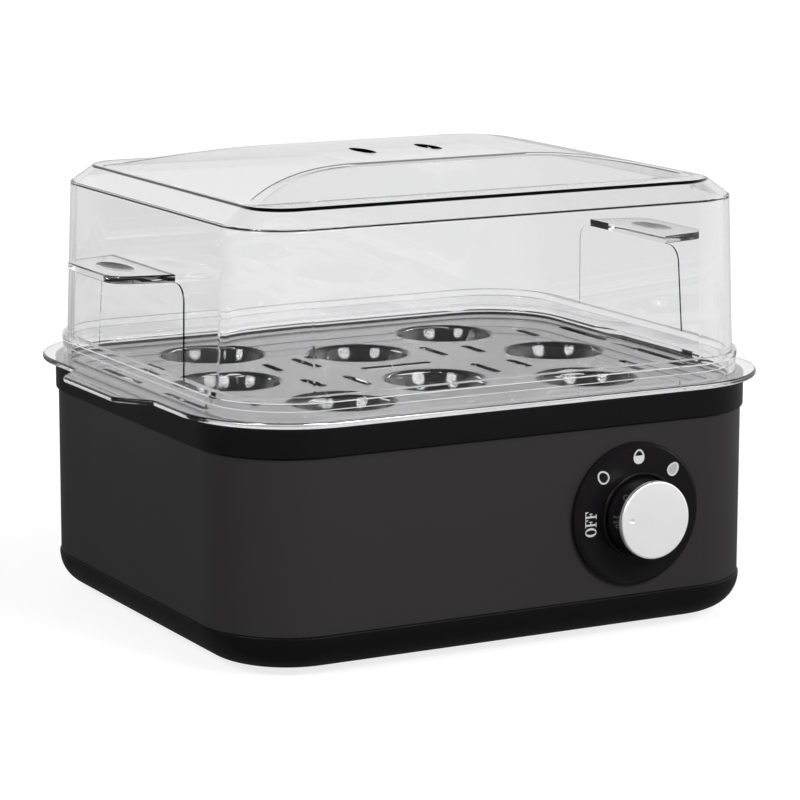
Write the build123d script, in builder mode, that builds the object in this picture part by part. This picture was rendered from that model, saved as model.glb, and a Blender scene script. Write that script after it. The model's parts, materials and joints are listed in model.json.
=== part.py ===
from build123d import *
from math import atan2, cos, degrees, radians, sin, sqrt, tan
import os

# Electric egg cooker: a steel sleeve between a black base and a black rim, a coated water pan with a
# heater under it, a clear egg tray, a clear lid and a rotary switch. Millimetres, +Z up, dial towards -Y.

# Body
body_width = 210.0
body_depth = 179.4
body_corner = 32.5
half_right_angle = 45.0
right_angle = 90.0
sleeve_height = 60.6
sleeve_wall = 0.6
hem_round = 0.25
spigot_height = 4.0

# Base
base_height = 12.8
base_straight = 0.8
base_wall = 2.5
base_edge_round = 0.6
base_proud = 0.5
boss_radius = 5.0
boss_height = 12.0
vent_length = 26.0
vent_width = 3.0
vent_pitch = 9.0
vent_count = 4

# Feet
foot_height = 2.5
foot_radius = 8.0
foot_round = 0.8
foot_stem_radius = 3.0
foot_stem_head = 1.5
foot_inset = 37.0

# Rim and frame
rim_height = 10.9
rim_proud = 0.95
rim_wall = 2.4
rim_round = 0.8
ledge_thickness = 2.4
post_radius = 4.0
post_gap = 2.1
pilot_depth = 16.0

# Pan and gasket
pan_depth = 17.6
pan_wall = 1.2
pan_inset = 15.8
pan_corner = 36.0
pan_draft = 4.0
pan_round = 6.0
pan_opening_gap = 1.0
pan_under_tray = 0.7
gasket_thickness = 1.0
pan_boss_radius = 3.0

# Screws
screw_radius = 1.6
screw_head_radius = 3.2
screw_head_height = 2.2
screw_slot_width = 0.8
screw_slot_depth = 0.9
screw_grip = 10.0
head_pocket_depth = 4.0
short_grip = 5.0

# Egg tray
tray_wall = 2.0
plate_thickness = 2.0
plate_drop = 0.5
flange_overhang = 6.25
flange_corner = 41.0
flange_thickness = 2.0
flange_round = 0.7
upstand_height = 7.0
tab_reach = 9.7
tab_root = 68.0
tab_tip = 44.0
tab_round = 6.0
egg_hole = 35.5
egg_radius = 18.2
egg_seat_depth = 7.0
egg_seat_wall = 1.6
egg_hole_round = 1.4
egg_place_shares = ((0.47, 0.585), (0.47, -0.585), (-0.47, 0.585), (-0.47, -0.585),
                    (0, 0.327), (0, -0.327), (0.645, 0), (-0.645, 0))
notch_radius = 3.3
slot_width = 3.4
# Each row of slots: place across, place along and length, all as shares of the plate
slot_row_shares = ((0.925, 0.30, 0.185), (0.75, 0.42, 0.085), (0.405, 0.19, 0.088), (0.254, 0.22, 0.11))
middle_slot_share = 0.14

# Lid
lid_wall = 2.0
lid_inset = 4.5
lid_corner = 24.6
lid_draft = 2.1
lid_wall_height = 57.4
lid_skirt = 3.0
lid_bevel_height = 6.0
lid_bevel_run = 8.3
lip_thickness = 2.2
lip_overhang = 0.35
pad_height = 7.7
pad_side_inset = 2.1
pad_front_inset = 12.8
pad_slope_run = 29.5
pad_flat = 66.0
vent_hole_width = 6.0
vent_hole_length = 18.0
vent_hole_spacing = 26.6
lid_edge_round = 0.6
pad_round = 12.0
ledge_drop = 21.2
ledge_reach = 21.5
ledge_plate = 2.7
ledge_root = 53.0
ledge_tip = 43.0
ledge_round = 9.0
ledge_edge_round = 0.6
dimple_length = 24.0
dimple_width = 10.0
dimple_depth = 0.9
panel_proud = 0.6
panel_width = 71.0
panel_lean = 3.0
panel_round = 6.0

# Dial and knob
dial_inset = 59.1
dial_height_share = 0.485
bezel_radius = 25.25
bezel_thickness = 3.0
bezel_chamfer = 1.2
bezel_bore_radius = 9.0
collar_gap = 0.6
collar_wall = 1.1
collar_height = 2.0
collar_round = 0.4
knob_radius = 13.5
knob_wall = 1.8
knob_front_wall = 2.0
knob_proud = 14.3
cap_thickness = 1.8
cap_overhang = 0.15
cap_round = 0.5
pointer_radius = 1.1
pointer_depth = 0.5
pointer_place_share = 0.7
off_angle = 176.0
mark_angles = (135.0, 90.0, 45.0)
hub_radius = 5.2
hub_start = 2.0
spring_wall = 0.6
spring_length = 3.0
spring_gap = 4.0

# Switch
bracket_wall = 1.0
bracket_side = 2.3
bracket_end_gap = 6.3
bracket_round = 3.0
bezel_screw_gap = 0.6
bezel_boss_radius = 2.9
case_size = 34.0
case_corner = 3.0
case_depth = 18.0
case_wall = 1.6
cover_thickness = 1.6
bush_radius = 5.0
bush_reach = 2.4
nut_across = 13.0
nut_thickness = 2.0
shaft_radius = 3.0
shaft_flat = 2.2
shaft_flat_length = 9.0
cam_radius = 9.0
cam_thickness = 4.0
cam_notch_radius = 2.4
blade_width = 6.3
blade_thickness = 0.8
blade_reach = 8.0
blade_spread = 9.0
blade_drop = 8.0
contact_gap = 1.3

# Heater, thermostat and fuse under the pan
heater_radius = 3.2
heater_spread = 62.0
heater_back = 40.0
heater_front = 28.0
heater_end_spread = 14.0
heater_end_reach = 22.0
heater_bend = 16.0
heater_cap_radius = 3.1
heater_cap_length = 7.0
pin_length = 6.0
pin_width = 4.0
clip_strip = 0.8
clip_foot = 5.0
clip_width = 8.0
thermostat_y = 5.0
thermostat_radius = 9.0
thermostat_cap_height = 6.0
thermostat_body_radius = 7.0
thermostat_body_height = 7.0
thermostat_blade_reach = 7.0
strap_thickness = 1.2
strap_width = 20.0
strap_screw_spread = 24.0
strap_end = 5.0
under_boss_radius = 3.5
fuse_radius = 2.6
fuse_length = 22.0
fuse_gap = 1.5
earth_gap = 4.5
earth_boss_height = 8.0

# Terminal block and cord gland
block_depth = 16.0
block_height = 12.0
block_inset = 75.0
block_back = 27.7
block_stand = 5.0
block_pitch = 11.0
block_bore_radius = 2.2
block_bore_height = 4.6
block_screw_gap = 4.5
block_end = 2.5
well_radius = 2.0
well_screw_radius = 1.7
well_screw_height = 3.0
gland_inset = 43.0
gland_height = 14.0
gland_bore_radius = 3.6
gland_neck = 12.0
gland_flange_radius = 8.5
gland_flange = 2.5
gland_corner = 4.0

# Leads: the bends of each, as shares of the way across, along and up from its start to its end, and of
# the swing that takes it sideways past other pieces
lead_radius = 1.3
lead_bend = 7.0
lead_entry = 3.0
lead_gap = 0.3
fuse_lead_swing = -30.0
heater_lead_swing = 9.5
live_shares = ((0, 0.28, 0, 0), (0.52, 0.62, 0.05, 0), (1, 0.77, 0.8, 0))
switched_shares = ((0, 0.48, 0.12, 0), (0.3, 1, 1, 0))
fuse_shares = ((0, 0, 0.35, 0.65), (0, 0.55, 0.85, 1), (0, 0.9, 1.3, 0.5))
heater_shares = ((0, 0, -0.4, 0.75), (0, 0.27, -1, 1), (0, 0.75, -0.2, 1), (1, 1, 0.9, 1))
neutral_shares = ((0.55, 0, 0.05, 0), (1, 0.19, 0.43, 0), (1, 0.51, 0.85, 0), (1, 0.77, 1, 0))
earth_shares = ((0, 0.45, 0, 0), (0.9, 1, 0.4, 0))

# Clearances
fit_gap = 0.1
running_gap = 0.05
lift_gap = 0.2
side_gap = 0.5
knob_gap = 0.4
cut_overrun = 3.0

# Levels above the table
base_bottom = foot_height
base_floor = base_bottom + base_wall
sleeve_bottom = base_bottom + base_height
sleeve_top = sleeve_bottom + sleeve_height
rim_top = sleeve_top + rim_height
plate_top = rim_top - plate_drop
plate_bottom = plate_top - plate_thickness
pan_rim = plate_bottom - pan_under_tray
gasket_top = pan_rim - pan_wall
ledge_top = gasket_top - gasket_thickness
ledge_bottom = ledge_top - ledge_thickness
pan_bottom = pan_rim - pan_depth
flange_bottom = rim_top + lift_gap
upstand_top = rim_top + upstand_height
lip_bottom = upstand_top + lift_gap
lid_bottom = lip_bottom - lid_skirt
bevel_bottom = lip_bottom + lid_wall_height
bevel_top = bevel_bottom + lid_bevel_height
pad_top = bevel_top + pad_height
ledge_plate_top = bevel_bottom - ledge_drop
dial_z = sleeve_bottom + sleeve_height * dial_height_share
boss_top = base_floor + boss_height

# The body's centre stands back, so that the knob's front and the flange's back are equally far off
body_y = (knob_proud - flange_overhang) / 2
dial_x = body_width / 2 - dial_inset

# Places that follow from the pieces they serve
collar_radius = knob_radius + collar_gap + collar_wall
bezel_screw_spread = case_size / 2 + screw_head_radius + bezel_screw_gap
bracket_width = 2 * (bezel_screw_spread + bezel_boss_radius + bracket_side)
bracket_height = sleeve_height - 2 * (spigot_height + bracket_end_gap)
contact_arm = case_size / 2 - case_wall - contact_gap - blade_spread + blade_thickness / 2
fuse_y = thermostat_y - thermostat_radius - fuse_gap - fuse_radius - fit_gap - clip_strip - clip_foot
earth_y = thermostat_y + thermostat_radius + earth_gap + under_boss_radius
block_screw_spread = block_pitch + block_screw_gap
block_width = 2 * (block_screw_spread + block_end)
block_x = block_inset - body_width / 2
block_y = body_depth / 2 - block_back
gland_x = gland_inset - body_width / 2

# Outlines that follow from the body
skin = sleeve_wall + fit_gap
spigot_size = (body_width - 2 * skin, body_depth - 2 * skin, body_corner - skin)
spigot_wall = base_wall - skin
base_size = (body_width + 2 * base_proud, body_depth + 2 * base_proud, body_corner + base_proud)
rim_size = (body_width + 2 * rim_proud, body_depth + 2 * rim_proud, body_corner + rim_proud)
rim_inside = (rim_size[0] - 2 * rim_wall, rim_size[1] - 2 * rim_wall, rim_size[2] - rim_wall)
tray_size = (rim_inside[0] - 2 * side_gap, rim_inside[1] - 2 * side_gap, rim_inside[2] - side_gap)
flange_size = (body_width + 2 * flange_overhang, body_depth + 2 * flange_overhang, flange_corner)
pan_size = (body_width - 2 * pan_inset, body_depth - 2 * pan_inset, pan_corner)
pan_opening = (pan_size[0] + 2 * pan_opening_gap, pan_size[1] + 2 * pan_opening_gap,
               pan_corner + pan_opening_gap)
pan_flange = (rim_inside[0] - 2 * pan_opening_gap, rim_inside[1] - 2 * pan_opening_gap,
              rim_inside[2] - pan_opening_gap)
lid_size = (body_width - 2 * lid_inset, body_depth - 2 * lid_inset, lid_corner)
post_reach = (pan_corner + pan_opening_gap + post_gap + post_radius) * cos(radians(half_right_angle))
post_x = pan_size[0] / 2 - pan_corner + post_reach
post_y = pan_size[1] / 2 - pan_corner + post_reach
foot_x = body_width / 2 - foot_inset
foot_y = body_depth / 2 - foot_inset
pan_screw_x = (pan_opening[0] + pan_flange[0]) / 4
pan_screw_y = (pan_opening[1] + pan_flange[1]) / 4


def level(height, x=0, y=0):
    """A level plane at a height, centred on the body or on a place in it."""
    return Plane((x, body_y + y, height))


def hanging(height, x=0, y=0):
    """The same plane, facing down."""
    return Plane((x, body_y + y, height), x_dir=(1, 0, 0), z_dir=(0, 0, -1))


def dial_plane(proud):
    """A plane facing the front on the dial's axis, this far proud of the steel."""
    return Plane((dial_x, body_y - body_depth / 2 - proud, dial_z), x_dir=(1, 0, 0), z_dir=(0, -1, 0))


def along_x(x, y, height):
    """A plane facing +X, with its second direction up."""
    return Plane((x, body_y + y, height), x_dir=(0, 1, 0), z_dir=(1, 0, 0))


def along_y(x, y, height):
    """A plane facing +Y, with its second direction up."""
    return Plane((x, body_y + y, height), x_dir=(-1, 0, 0), z_dir=(0, 1, 0))


def four(x, y):
    """The four places at plus and minus x and y."""
    return [(x, y), (-x, y), (-x, -y), (x, -y)]


def block(plane, size, height, taper=0, mode=Mode.ADD):
    """A rounded rectangle raised from a plane; size is width, depth and corner radius."""
    with BuildSketch(plane) as outline:
        RectangleRounded(*size)
    extrude(outline.sketch, amount=height, taper=taper, mode=mode)


def frame_of(plane, size, inside, height):
    """A rounded rectangle with a rounded rectangle cut out of it, raised from a plane."""
    with BuildSketch(plane) as outline:
        RectangleRounded(*size)
        RectangleRounded(*inside, mode=Mode.SUBTRACT)
    extrude(outline.sketch, amount=height)


def shrunk(size, wall):
    """A rounded rectangle's size with a wall taken off all round."""
    return (size[0] - 2 * wall, size[1] - 2 * wall, size[2] - wall)


def rods(plane, radius, height, places=((0, 0),), mode=Mode.ADD):
    """Round bars raised from a plane at each place."""
    with BuildSketch(plane) as outline:
        with Locations(*places):
            Circle(radius)
    extrude(outline.sketch, amount=height, mode=mode)


def bar(plane, width, depth, height, places=((0, 0),), mode=Mode.ADD):
    """Square bars raised from a plane at each place."""
    with BuildSketch(plane) as outline:
        with Locations(*places):
            Rectangle(width, depth)
    extrude(outline.sketch, amount=height, mode=mode)


def screws(seat, grip, places):
    """Screws whose heads bear on a plane and whose shanks run along its direction."""
    rods(seat, screw_radius, grip, places)
    rods(seat.offset(-screw_head_height), screw_head_radius, screw_head_height, places)
    outside = seat.offset(-screw_head_height)
    slot = 2 * screw_head_radius
    bar(outside, slot, screw_slot_width, screw_slot_depth, places, Mode.SUBTRACT)
    bar(outside, screw_slot_width, slot, screw_slot_depth, places, Mode.SUBTRACT)


def shaft_profile(plane, radius, flat, length, mode=Mode.ADD):
    """A round bar with one flat."""
    with BuildSketch(plane) as outline:
        Circle(radius)
        with Locations((0, flat)):
            Rectangle(2 * radius, 2 * radius, align=(Align.CENTER, Align.MIN), mode=Mode.SUBTRACT)
    extrude(outline.sketch, amount=length, mode=mode)


def saddle_clip(middle, held_radius):
    """A strip bent over a round thing that lies under the pan; the plane looks along that thing."""
    half = held_radius + fit_gap
    drop = 2 * held_radius + 2 * fit_gap
    foot = half + clip_strip + clip_foot
    with BuildSketch(middle.offset(-clip_width / 2)) as outline:
        Rectangle(2 * (half + clip_strip), drop + clip_strip, align=(Align.CENTER, Align.MAX))
        Rectangle(2 * foot, clip_strip, align=(Align.CENTER, Align.MAX))
        Rectangle(2 * half, drop, align=(Align.CENTER, Align.MAX), mode=Mode.SUBTRACT)
    extrude(outline.sketch, amount=clip_width)


def finish(builder, name):
    """Label a finished piece and write it."""
    builder.part.label = name
    export_step(builder.part, f"parts/{name}.step")


os.makedirs("parts", exist_ok=True)

post_places = four(post_x, post_y)
foot_places = four(foot_x, foot_y)

# Black base: a tray with a rounded lower edge, a spigot inside the steel, screw bosses and vents
with BuildPart() as base_pan:
    block(level(base_bottom), base_size, base_height)
    fillet(base_pan.edges().group_by(Axis.Z)[0], base_height - base_straight)
    offset(amount=-base_wall, openings=base_pan.faces().sort_by(Axis.Z)[-1])
    fillet(base_pan.faces().sort_by(Axis.Z)[-1].outer_wire().edges(), base_edge_round)
    frame_of(level(sleeve_bottom), spigot_size, shrunk(spigot_size, spigot_wall), spigot_height)
    rods(level(base_floor - base_wall / 2), boss_radius, boss_height + base_wall / 2, post_places)
    rods(level(base_bottom), screw_head_radius + side_gap, head_pocket_depth, post_places, Mode.SUBTRACT)
    rods(level(base_bottom), screw_radius + fit_gap, boss_top, post_places, Mode.SUBTRACT)
    rods(level(base_bottom), foot_stem_radius + fit_gap, base_wall, foot_places, Mode.SUBTRACT)
    block_feet = [(-block_screw_spread, 0), (block_screw_spread, 0)]
    rods(level(base_floor, block_x, block_y), boss_radius, block_stand, block_feet)
    rods(level(base_floor, block_x, block_y), screw_radius + fit_gap, block_stand, block_feet, Mode.SUBTRACT)
    with BuildSketch(level(base_bottom)) as vents:
        with GridLocations(vent_length + vent_pitch, vent_pitch, 2, vent_count):
            SlotOverall(vent_length, vent_width)
    extrude(vents.sketch, amount=base_wall, mode=Mode.SUBTRACT)
finish(base_pan, "base_pan")

# Rubber feet with stems that button into the base
with BuildPart() as rubber_feet:
    rods(level(0), foot_radius, foot_height, foot_places)
    fillet(rubber_feet.edges().group_by(Axis.Z)[0], foot_round)
    rods(level(base_bottom), foot_stem_radius, base_wall + fit_gap + foot_stem_head, foot_places)
    rods(level(base_floor + fit_gap), foot_stem_radius + foot_stem_head, foot_stem_head, foot_places)
finish(rubber_feet, "rubber_feet")

# Screws that pull the frame's posts down on the base
with BuildPart() as base_screws:
    post_screw = boss_top - base_bottom - head_pocket_depth + screw_grip
    screws(level(base_bottom + head_pocket_depth), post_screw, post_places)
finish(base_screws, "base_screws")

# Steel sleeve with openings for the dial in front and a notch for the cord gland behind
gland_z = sleeve_bottom + gland_height
bezel_screw_places = [(-bezel_screw_spread, 0), (bezel_screw_spread, 0)]
with BuildPart() as housing_sleeve:
    body_size = (body_width, body_depth, body_corner)
    frame_of(level(sleeve_bottom), body_size, shrunk(body_size, sleeve_wall), sleeve_height)
    hems = housing_sleeve.faces().sort_by(Axis.Z)
    fillet(hems[0].outer_wire().edges() + hems[-1].outer_wire().edges(), hem_round)
    inner_side = dial_plane(-cut_overrun)
    rods(inner_side, bezel_bore_radius, 2 * cut_overrun, mode=Mode.SUBTRACT)
    rods(inner_side, bezel_boss_radius + fit_gap, 2 * cut_overrun, bezel_screw_places, Mode.SUBTRACT)
    notch_width = gland_neck + 2 * fit_gap
    notch_height = gland_height + gland_neck / 2 + fit_gap
    bar(level(sleeve_bottom, gland_x, body_depth / 2), notch_width, 2 * cut_overrun, notch_height,
        mode=Mode.SUBTRACT)
finish(housing_sleeve, "housing_sleeve")

# Black frame: the rim that shows, a ledge for the pan, a spigot inside the steel and four posts
pan_screw_places = [(pan_screw_x, 0), (-pan_screw_x, 0), (0, pan_screw_y), (0, -pan_screw_y)]
with BuildPart() as top_frame:
    block(level(sleeve_top), rim_size, rim_height)
    fillet(top_frame.edges().group_by(Axis.Z)[0] + top_frame.edges().group_by(Axis.Z)[-1], rim_round)
    block(level(sleeve_top), rim_inside, rim_height, mode=Mode.SUBTRACT)
    frame_of(level(ledge_bottom), shrunk(rim_size, rim_wall / 2), pan_opening, ledge_thickness)
    spigot_bottom = sleeve_top - spigot_height
    frame_of(level(spigot_bottom), spigot_size, shrunk(spigot_size, spigot_wall), ledge_top - spigot_bottom)
    rods(level(boss_top), post_radius, ledge_top - boss_top, post_places)
    rods(level(boss_top), screw_radius + running_gap, pilot_depth, post_places, Mode.SUBTRACT)
    rods(level(ledge_bottom), pan_boss_radius + fit_gap, ledge_thickness, pan_screw_places, Mode.SUBTRACT)
finish(top_frame, "top_frame")

# Gasket between the pan's flange and the frame's ledge
with BuildPart() as pan_gasket:
    frame_of(level(ledge_top), pan_flange, shrunk(pan_opening, -fit_gap), gasket_thickness)
    rods(level(ledge_top), pan_boss_radius + fit_gap, gasket_thickness, pan_screw_places, Mode.SUBTRACT)
finish(pan_gasket, "pan_gasket")

# Coated water pan with a flange, screw bosses and the bosses for what hangs under it
strap_top = pan_bottom - thermostat_cap_height - fit_gap
strap_screw_places = [(-strap_screw_spread, thermostat_y), (strap_screw_spread, thermostat_y)]
with BuildPart() as heating_pan:
    block(hanging(gasket_top), pan_size, gasket_top - pan_bottom, taper=pan_draft)
    fillet(heating_pan.edges().group_by(Axis.Z)[0], pan_round)
    block(level(gasket_top), pan_flange, pan_wall)
with BuildPart() as pan_inside:
    block(hanging(pan_rim), shrunk(pan_size, pan_wall), pan_depth - pan_wall, taper=pan_draft)
    fillet(pan_inside.edges().group_by(Axis.Z)[0], pan_round - pan_wall)
with heating_pan:
    add(pan_inside.part, mode=Mode.SUBTRACT)
    screw_boss = gasket_top - ledge_bottom - fit_gap
    rods(hanging(gasket_top), pan_boss_radius, screw_boss, pan_screw_places)
    rods(hanging(gasket_top), screw_radius + running_gap, screw_boss, pan_screw_places, Mode.SUBTRACT)
    rods(level(strap_top), under_boss_radius, pan_bottom - strap_top, strap_screw_places)
    rods(level(strap_top), screw_radius + running_gap, short_grip, strap_screw_places, Mode.SUBTRACT)
    earth_place = [(0, earth_y)]
    earth_level = pan_bottom - earth_boss_height
    rods(level(earth_level), under_boss_radius, earth_boss_height, earth_place)
    rods(level(earth_level), screw_radius + running_gap, short_grip, earth_place, Mode.SUBTRACT)
finish(heating_pan, "heating_pan")

# Screws from below the ledge into the pan's bosses
with BuildPart() as pan_screws:
    screws(level(ledge_bottom), gasket_top - ledge_bottom - 2 * fit_gap, pan_screw_places)
finish(pan_screws, "pan_screws")

# Sheathed heater: one loop under the pan, with both ends brought out to the front
heater_z = pan_bottom - fit_gap - heater_radius
heater_tip = heater_front + heater_end_reach
with BuildPart() as heater_tube:
    with BuildLine(level(heater_z)) as loop:
        FilletPolyline((-heater_end_spread, -heater_tip), (-heater_end_spread, -heater_front),
                       (-heater_spread, -heater_front), (-heater_spread, heater_back),
                       (heater_spread, heater_back), (heater_spread, -heater_front),
                       (heater_end_spread, -heater_front), (heater_end_spread, -heater_tip),
                       radius=heater_bend)
    with BuildSketch(along_y(-heater_end_spread, -heater_tip, heater_z)) as section:
        Circle(heater_radius)
    sweep(section.sketch, path=loop.wires()[0])
finish(heater_tube, "heater_tube")

# Ceramic ends with flat pins
end_places = [(-heater_end_spread, 0), (heater_end_spread, 0)]
with BuildPart() as heater_caps:
    cap_front = along_y(0, -heater_tip - heater_cap_length, heater_z)
    rods(cap_front, heater_cap_radius, heater_cap_length, end_places)
    bar(cap_front.offset(-pin_length), blade_thickness, pin_width, pin_length, end_places)
finish(heater_caps, "heater_caps")

# Strips that hold the heater against the pan
with BuildPart() as heater_clips:
    saddle_clip(along_y(-heater_spread, 0, pan_bottom), heater_radius)
    saddle_clip(along_y(heater_spread, 0, pan_bottom), heater_radius)
    saddle_clip(along_x(0, heater_back, pan_bottom), heater_radius)
finish(heater_clips, "heater_clips")

# Thermostat pressed to the pan by a strap
thermostat_blade_end = thermostat_body_radius + thermostat_blade_reach
with BuildPart() as thermostat:
    rods(hanging(pan_bottom, 0, thermostat_y), thermostat_radius, thermostat_cap_height)
    rods(hanging(pan_bottom - thermostat_cap_height, 0, thermostat_y), thermostat_body_radius,
         thermostat_body_height)
    blade_level = pan_bottom - thermostat_cap_height - thermostat_body_height / 2 - strap_thickness
    bar(level(blade_level, 0, thermostat_y), 2 * thermostat_blade_end, blade_width, blade_thickness)
finish(thermostat, "thermostat")

with BuildPart() as thermostat_bracket:
    strap_length = 2 * (strap_screw_spread + strap_end)
    bar(hanging(strap_top, 0, thermostat_y), strap_length, strap_width, strap_thickness)
    strap_bottom = strap_top - strap_thickness
    rods(level(strap_bottom, 0, thermostat_y), thermostat_body_radius + fit_gap, strap_thickness,
         mode=Mode.SUBTRACT)
    rods(level(strap_bottom), screw_radius + fit_gap, strap_thickness, strap_screw_places, Mode.SUBTRACT)
finish(thermostat_bracket, "thermostat_bracket")

with BuildPart() as bracket_screws:
    screws(level(strap_bottom), short_grip, strap_screw_places)
finish(bracket_screws, "bracket_screws")

with BuildPart() as earth_screw:
    screws(level(earth_level), short_grip - pan_wall, earth_place)
finish(earth_screw, "earth_screw")

# Thermal fuse in its sleeve, held by a clip
fuse_z = pan_bottom - fit_gap - fuse_radius
with BuildPart() as thermal_fuse:
    rods(along_x(-fuse_length / 2, fuse_y, fuse_z), fuse_radius, fuse_length)
    fillet(thermal_fuse.edges().filter_by(GeomType.CIRCLE), fuse_radius / 4)
finish(thermal_fuse, "thermal_fuse")

with BuildPart() as fuse_clip:
    saddle_clip(along_x(0, fuse_y, pan_bottom), fuse_radius)
finish(fuse_clip, "fuse_clip")

# Dial plate: a disc with a bevelled edge, a raised collar round the knob and two bosses behind
bracket_back = -sleeve_wall - bracket_wall
with BuildPart() as dial_bezel:
    rods(dial_plane(0), bezel_radius, bezel_thickness)
    chamfer(dial_bezel.edges().sort_by(Axis.Y)[0], bezel_chamfer)
    rods(dial_plane(0), collar_radius, bezel_thickness + collar_height)
    rods(dial_plane(bezel_thickness), collar_radius - collar_wall, collar_height, mode=Mode.SUBTRACT)
    fillet(dial_bezel.edges().group_by(Axis.Y)[0], collar_round)
    rods(dial_plane(0), bezel_bore_radius, bezel_thickness, mode=Mode.SUBTRACT)
    rods(dial_plane(bracket_back + fit_gap), bezel_boss_radius, -bracket_back - fit_gap, bezel_screw_places)
    rods(dial_plane(bracket_back + fit_gap), screw_radius + running_gap, -bracket_back + bezel_thickness / 2,
         bezel_screw_places, Mode.SUBTRACT)
finish(dial_bezel, "dial_bezel")

# Steel bracket behind the sleeve that carries the switch and holds the dial plate
with BuildPart() as switch_bracket:
    block(dial_plane(bracket_back), (bracket_width, bracket_height, bracket_round), bracket_wall)
    rods(dial_plane(bracket_back), bush_radius + fit_gap, bracket_wall, mode=Mode.SUBTRACT)
    rods(dial_plane(bracket_back), bezel_boss_radius + fit_gap, bracket_wall, bezel_screw_places,
         Mode.SUBTRACT)
finish(switch_bracket, "switch_bracket")

with BuildPart() as bezel_screws:
    screws(dial_plane(bracket_back), -bracket_back + bezel_thickness / 2 - fit_gap, bezel_screw_places)
finish(bezel_screws, "bezel_screws")

# Rotary switch: case with a threaded bush, rear cover, contacts and nut
case_back = bracket_back - case_depth
cover_back = case_back - cover_thickness
blade_places = [(-blade_spread, -blade_drop), (blade_spread, -blade_drop)]
case_outline = (case_size, case_size, case_corner)
with BuildPart() as switch_case:
    block(dial_plane(case_back), case_outline, case_depth)
    block(dial_plane(case_back), shrunk(case_outline, case_wall), case_depth - case_wall, mode=Mode.SUBTRACT)
    rods(dial_plane(bracket_back), bush_radius, bush_reach - bracket_back)
    bush_length = case_wall - bracket_back + bush_reach
    rods(dial_plane(bracket_back - case_wall), shaft_radius + running_gap, bush_length, mode=Mode.SUBTRACT)
finish(switch_case, "switch_case")

with BuildPart() as switch_cover:
    block(dial_plane(cover_back), case_outline, cover_thickness)
    rods(dial_plane(cover_back), shaft_radius + running_gap, cover_thickness, mode=Mode.SUBTRACT)
    bar(dial_plane(cover_back), blade_thickness + 2 * fit_gap, blade_width + 2 * fit_gap, cover_thickness,
        blade_places, Mode.SUBTRACT)
finish(switch_cover, "switch_cover")

with BuildPart() as switch_contacts:
    bar(dial_plane(cover_back - blade_reach), blade_thickness, blade_width, blade_reach + cover_thickness,
        blade_places)
    for side in (-1, 1):
        arm_x = side * (blade_spread + contact_arm / 2 - blade_thickness / 2)
        bar(dial_plane(case_back), contact_arm, blade_width, blade_thickness, [(arm_x, -blade_drop)])
finish(switch_contacts, "switch_contacts")

with BuildPart() as switch_nut:
    with BuildSketch(dial_plane(-sleeve_wall)) as hexagon:
        RegularPolygon(nut_across / 2, 6, major_radius=False)
        Circle(bush_radius + fit_gap, mode=Mode.SUBTRACT)
    extrude(hexagon.sketch, amount=nut_thickness)
finish(switch_nut, "switch_nut")

# Shaft, cam and knob turn together
cap_back = knob_proud - cap_thickness
knob_back = bezel_thickness + knob_gap
shaft_front = cap_back - knob_front_wall
with BuildPart() as switch_shaft:
    rods(dial_plane(cover_back), shaft_radius, shaft_front - shaft_flat_length - cover_back)
    shaft_profile(dial_plane(shaft_front - shaft_flat_length), shaft_radius, shaft_flat, shaft_flat_length)
finish(switch_shaft, "switch_shaft")

cam_middle = (case_back + bracket_back - case_wall) / 2
with BuildPart() as switch_cam:
    cam_plane = dial_plane(cam_middle - cam_thickness / 2)
    stops = [off_angle, *mark_angles]
    notch_places = [(cam_radius * cos(radians(stop)), cam_radius * sin(radians(stop))) for stop in stops]
    rods(cam_plane, cam_radius, cam_thickness)
    rods(cam_plane, cam_notch_radius, cam_thickness, notch_places, Mode.SUBTRACT)
    rods(cam_plane, shaft_radius + running_gap, cam_thickness, mode=Mode.SUBTRACT)
finish(switch_cam, "switch_cam")

with BuildPart() as knob_body:
    rods(dial_plane(knob_back), knob_radius, cap_back - knob_back)
    rods(dial_plane(knob_back), knob_radius - knob_wall, cap_back - knob_front_wall - knob_back,
         mode=Mode.SUBTRACT)
    rods(dial_plane(knob_back + hub_start), hub_radius, cap_back - knob_back - hub_start)
    shaft_profile(dial_plane(knob_back + hub_start), shaft_radius + running_gap, shaft_flat + running_gap,
                  shaft_front - knob_back - hub_start, Mode.SUBTRACT)
finish(knob_body, "knob_body")

with BuildPart() as knob_cap:
    rods(dial_plane(cap_back), knob_radius + cap_overhang, cap_thickness)
    fillet(knob_cap.edges().sort_by(Axis.Y)[0], cap_round)
    pointer_place = knob_radius * pointer_place_share
    with Locations(dial_plane(knob_proud + pointer_radius - pointer_depth)):
        with Locations((pointer_place * cos(radians(off_angle)), pointer_place * sin(radians(off_angle)))):
            Sphere(pointer_radius, mode=Mode.SUBTRACT)
finish(knob_cap, "knob_cap")

with BuildPart() as knob_spring:
    spring_back = dial_plane(knob_back + hub_start)
    rods(spring_back, hub_radius + fit_gap + spring_wall, spring_length)
    rods(spring_back, hub_radius + fit_gap, spring_length, mode=Mode.SUBTRACT)
    bar(spring_back, spring_gap, 2 * hub_radius, spring_length, [(0, -hub_radius)], Mode.SUBTRACT)
finish(knob_spring, "knob_spring")

# Terminal block on its bosses, with its screws
block_bottom = base_floor + block_stand
bore_level = block_bottom + block_bore_height
well_places = [(-block_pitch, 0), (0, 0), (block_pitch, 0)]
with BuildPart() as terminal_block:
    bar(level(block_bottom, block_x, block_y), block_width, block_depth, block_height)
    block_front = along_y(block_x, block_y - block_depth / 2, bore_level)
    rods(block_front, block_bore_radius, block_depth, well_places, Mode.SUBTRACT)
    rods(level(bore_level, block_x, block_y), well_radius, block_height, well_places, Mode.SUBTRACT)
    rods(level(block_bottom, block_x, block_y), screw_radius + fit_gap, block_height, block_feet,
         Mode.SUBTRACT)
finish(terminal_block, "terminal_block")

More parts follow.
